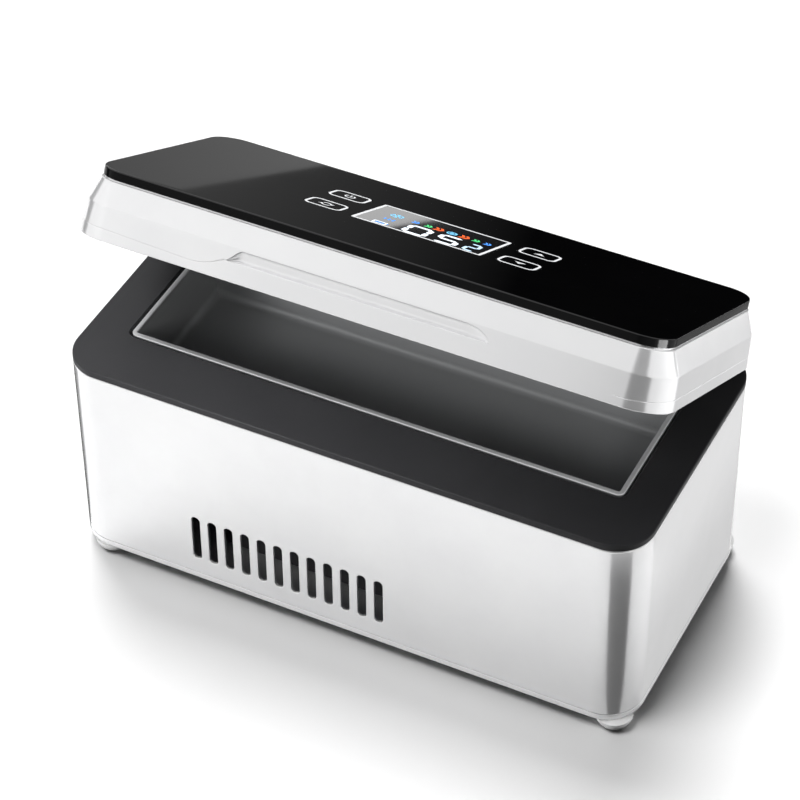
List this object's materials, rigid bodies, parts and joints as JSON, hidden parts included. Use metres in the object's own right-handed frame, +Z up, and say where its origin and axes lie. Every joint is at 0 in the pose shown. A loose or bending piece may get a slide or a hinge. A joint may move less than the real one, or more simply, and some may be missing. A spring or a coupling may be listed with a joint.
{
  "type": "insulin cooling case",
  "caption": "Small bench cooler case with a hinged lid that carries a display and push keys, a long cold tray inside, side air slots and round feet.",
  "frame": {"origin": "at floor level, under the middle of the case as it stands open in the picture", "axes": "+X to the right along the case's length as seen from its front, +Y to the hinge at the back, +Z up"},
  "size_m": [0.215, 0.1112, 0.1559],
  "materials": {
    "white_shell": "gloss",
    "white_foot": "satin",
    "dark_satin": "satin",
    "black_gloss": "gloss",
    "smoked_lens": "gloss",
    "anodised_tray": "satin",
    "bare_aluminium": "satin",
    "ceramic_plate": "matte",
    "foam": "matte",
    "seal": "matte",
    "circuit_board": "satin",
    "battery_wrap": "satin",
    "black_plastic": "satin",
    "red_wire": "satin",
    "steel": "satin"
  },
  "bodies": {
    "case": {"body_shell": "white_shell", "base_cover": "white_shell", "top_bezel": "dark_satin", "cooling_tray": "anodised_tray", "insulation_foam": "foam", "cold_block": "bare_aluminium", "cooling_module": "ceramic_plate", "heat_sink": "bare_aluminium", "fan_frame": "black_plastic", "temperature_sensor": "black_plastic", "battery_pack": "battery_wrap", "control_board": "circuit_board", "dc_jack": "black_plastic", "fan_lead": "black_plastic", "cooler_lead": "red_wire", "battery_lead": "red_wire", "strike_plate_left": "steel", "strike_plate_right": "steel", "hinge_pin_left": "steel", "hinge_pin_right": "steel", "foot_front_left": "white_foot", "foot_front_right": "white_foot", "foot_rear_left": "white_foot", "foot_rear_right": "white_foot", "base_screw_front_left": "steel", "base_screw_front_right": "steel", "base_screw_rear_left": "steel", "base_screw_rear_right": "steel"},
    "lid": {"lid_shell": "white_shell", "top_panel": "black_gloss", "display_window": "smoked_lens", "display_module": "black_plastic", "display_board": "circuit_board", "lid_liner": "dark_satin", "lid_foam": "foam", "lid_seal": "seal", "lid_magnet_left": "steel", "lid_magnet_right": "steel", "switch_power": "black_plastic", "switch_auto": "black_plastic", "switch_up": "black_plastic", "switch_down": "black_plastic", "display_screw_front_left": "steel", "display_screw_front_right": "steel", "display_screw_rear_left": "steel", "display_screw_rear_right": "steel", "lid_screw_front_left": "steel", "lid_screw_front_right": "steel", "lid_screw_rear_left": "steel", "lid_screw_rear_right": "steel", "lid_screw_front_middle": "steel", "lid_screw_rear_middle": "steel"},
    "key_power": {"key_power": "black_gloss"},
    "key_auto": {"key_auto": "black_gloss"},
    "key_up": {"key_up": "black_gloss"},
    "key_down": {"key_down": "black_gloss"},
    "fan_rotor": {"fan_rotor": "black_plastic"}
  },
  "joints": [
    {"name": "lid_hinge", "type": "hinge", "parent": "case", "child": "lid", "pos_m": [0, 0.04616, 0.0894], "axis": [-1, 0, 0], "range_deg": [-28.4, 46.6]},
    {"name": "power_press", "type": "slide", "parent": "lid", "child": "key_power", "axis": [0, -0.4756, -0.8796], "range_m": [0, 0.0004], "stiffness_N_per_m": 2000, "springref_m": -0.0003},
    {"name": "auto_press", "type": "slide", "parent": "lid", "child": "key_auto", "axis": [0, -0.4756, -0.8796], "range_m": [0, 0.0004], "stiffness_N_per_m": 2000, "springref_m": -0.0003},
    {"name": "up_press", "type": "slide", "parent": "lid", "child": "key_up", "axis": [0, -0.4756, -0.8796], "range_m": [0, 0.0004], "stiffness_N_per_m": 2000, "springref_m": -0.0003},
    {"name": "down_press", "type": "slide", "parent": "lid", "child": "key_down", "axis": [0, -0.4756, -0.8796], "range_m": [0, 0.0004], "stiffness_N_per_m": 2000, "springref_m": -0.0003},
    {"name": "fan_spin", "type": "hinge", "parent": "case", "child": "fan_rotor", "pos_m": [-0.02133, -0.00344, 0.016], "axis": [0, 0, 1], "continuous": true}
  ]
}
